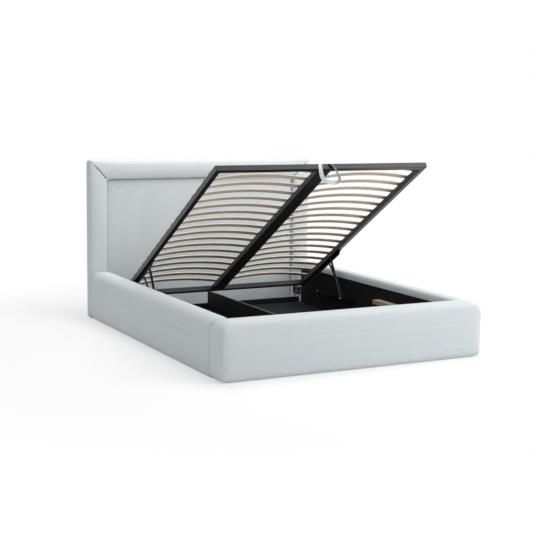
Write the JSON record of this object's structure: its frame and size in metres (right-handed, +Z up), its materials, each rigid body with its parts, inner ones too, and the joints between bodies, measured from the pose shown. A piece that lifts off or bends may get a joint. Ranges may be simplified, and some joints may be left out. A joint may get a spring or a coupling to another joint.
{
  "type": "storage bed",
  "caption": "Upholstered double bed with bordered headboard, padded rails and a raised sprung-slat frame that lifts on folding links and gas struts over a divided storage base.",
  "frame": {"origin": "on the floor, at the middle of the bed's footprint", "axes": "+Z up, +Y from the foot toward the headboard, +X to the right of someone who stands at the foot facing the headboard"},
  "size_m": [1.76, 2.225, 1.1614],
  "materials": {
    "cover_fabric": "light grey fine-weave cover, matt",
    "black_lining": "black non-woven lining, matt",
    "black_board": "black-faced board, matt",
    "black_steel": "black powder coat, satin",
    "rod_steel": "bright ground rod",
    "slat_wood": "bent birch laminate, satin",
    "batten_wood": "planed softwood",
    "strap_webbing": "pale grey webbing"
  },
  "bodies": {
    "base": {"headboard_left_border": "cover_fabric", "headboard_top_border": "cover_fabric", "headboard_right_border": "cover_fabric", "headboard_panel": "cover_fabric", "footboard": "cover_fabric", "foot_lining": "black_lining", "centre_divider": "black_board", "rear_ledge_board": "black_board", "left_side_rail": "cover_fabric", "right_side_rail": "cover_fabric", "left_lining": "black_lining", "right_lining": "black_lining", "left_floor_board": "black_board", "right_floor_board": "black_board", "left_batten": "batten_wood", "right_batten": "batten_wood", "left_corner_bracket": "black_steel", "right_corner_bracket": "black_steel", "left_lower_bracket": "black_steel", "right_lower_bracket": "black_steel"},
    "slat_frame": {"left_side_tube": "black_steel", "right_side_tube": "black_steel", "head_tube": "black_steel", "foot_tube": "black_steel", "centre_rail": "black_steel", "left_upper_bracket": "black_steel", "right_upper_bracket": "black_steel", "pull_strap": "strap_webbing", "slat_row_01": "slat_wood", "slat_row_02": "slat_wood", "slat_row_03": "slat_wood", "slat_row_04": "slat_wood", "slat_row_05": "slat_wood", "slat_row_06": "slat_wood", "slat_row_07": "slat_wood", "slat_row_08": "slat_wood", "slat_row_09": "slat_wood", "slat_row_10": "slat_wood", "slat_row_11": "slat_wood", "slat_row_12": "slat_wood", "slat_row_13": "slat_wood", "slat_row_14": "slat_wood", "slat_row_15": "slat_wood", "slat_row_16": "slat_wood", "slat_row_17": "slat_wood", "slat_row_18": "slat_wood"},
    "left_rear_link": {"left_rear_link": "black_steel"},
    "right_rear_link": {"right_rear_link": "black_steel"},
    "left_front_arm": {"left_front_arm": "black_steel"},
    "right_front_arm": {"right_front_arm": "black_steel"},
    "left_strut_rod": {"left_strut_rod": "rod_steel"},
    "right_strut_rod": {"right_strut_rod": "rod_steel"},
    "left_strut_cylinder": {"left_strut_cylinder": "black_steel"},
    "right_strut_cylinder": {"right_strut_cylinder": "black_steel"}
  },
  "joints": [
    {"name": "left_rear_link_swing", "type": "hinge", "parent": "base", "child": "left_rear_link", "pos_m": [-0.7085, 0.5902, 0.16], "axis": [1, 0, 0], "range_deg": [-74, 0]},
    {"name": "frame_lift", "type": "hinge", "parent": "left_rear_link", "child": "slat_frame", "pos_m": [-0.7085, 0.59358, 0.28584], "axis": [1, 0, 0], "range_deg": [0, 106.08], "stiffness_Nm_per_rad": 20, "springref_deg": -171.89},
    {"name": "right_rear_link_swing", "type": "hinge", "parent": "base", "child": "right_rear_link", "pos_m": [0.7085, 0.5902, 0.16], "axis": [1, 0, 0], "range_deg": [-74, 0]},
    {"name": "left_front_arm_swing", "type": "hinge", "parent": "base", "child": "left_front_arm", "pos_m": [-0.7085, 0.2364, 0.16], "axis": [1, 0, 0], "range_deg": [-41, 0]},
    {"name": "left_strut_swing", "type": "hinge", "parent": "base", "child": "left_strut_rod", "pos_m": [-0.686, 0.2364, 0.16], "axis": [1, 0, 0], "range_deg": [-53.3, 0]},
    {"name": "left_strut_slide", "type": "slide", "parent": "left_strut_rod", "child": "left_strut_cylinder", "axis": [0, 0.4898, 0.8718], "range_m": [-0.0684, 0]},
    {"name": "right_front_arm_swing", "type": "hinge", "parent": "base", "child": "right_front_arm", "pos_m": [0.7085, 0.2364, 0.16], "axis": [1, 0, 0], "range_deg": [-41, 0]},
    {"name": "right_strut_swing", "type": "hinge", "parent": "base", "child": "right_strut_rod", "pos_m": [0.686, 0.2364, 0.16], "axis": [1, 0, 0], "range_deg": [-53.3, 0]},
    {"name": "right_strut_slide", "type": "slide", "parent": "right_strut_rod", "child": "right_strut_cylinder", "axis": [0, 0.4898, 0.8718], "range_m": [-0.0684, 0]}
  ],
  "couplings": [
    {"joint": "left_rear_link_swing", "follows": "frame_lift", "ratio": -0.69514},
    {"joint": "right_rear_link_swing", "follows": "frame_lift", "ratio": -0.69514},
    {"joint": "left_front_arm_swing", "follows": "frame_lift", "ratio": -0.38411},
    {"joint": "left_strut_swing", "follows": "frame_lift", "ratio": -0.50053},
    {"joint": "left_strut_slide", "follows": "frame_lift", "m_per_rad": -0.036842},
    {"joint": "right_front_arm_swing", "follows": "frame_lift", "ratio": -0.38411},
    {"joint": "right_strut_swing", "follows": "frame_lift", "ratio": -0.50053},
    {"joint": "right_strut_slide", "follows": "frame_lift", "m_per_rad": -0.036842}
  ]
}
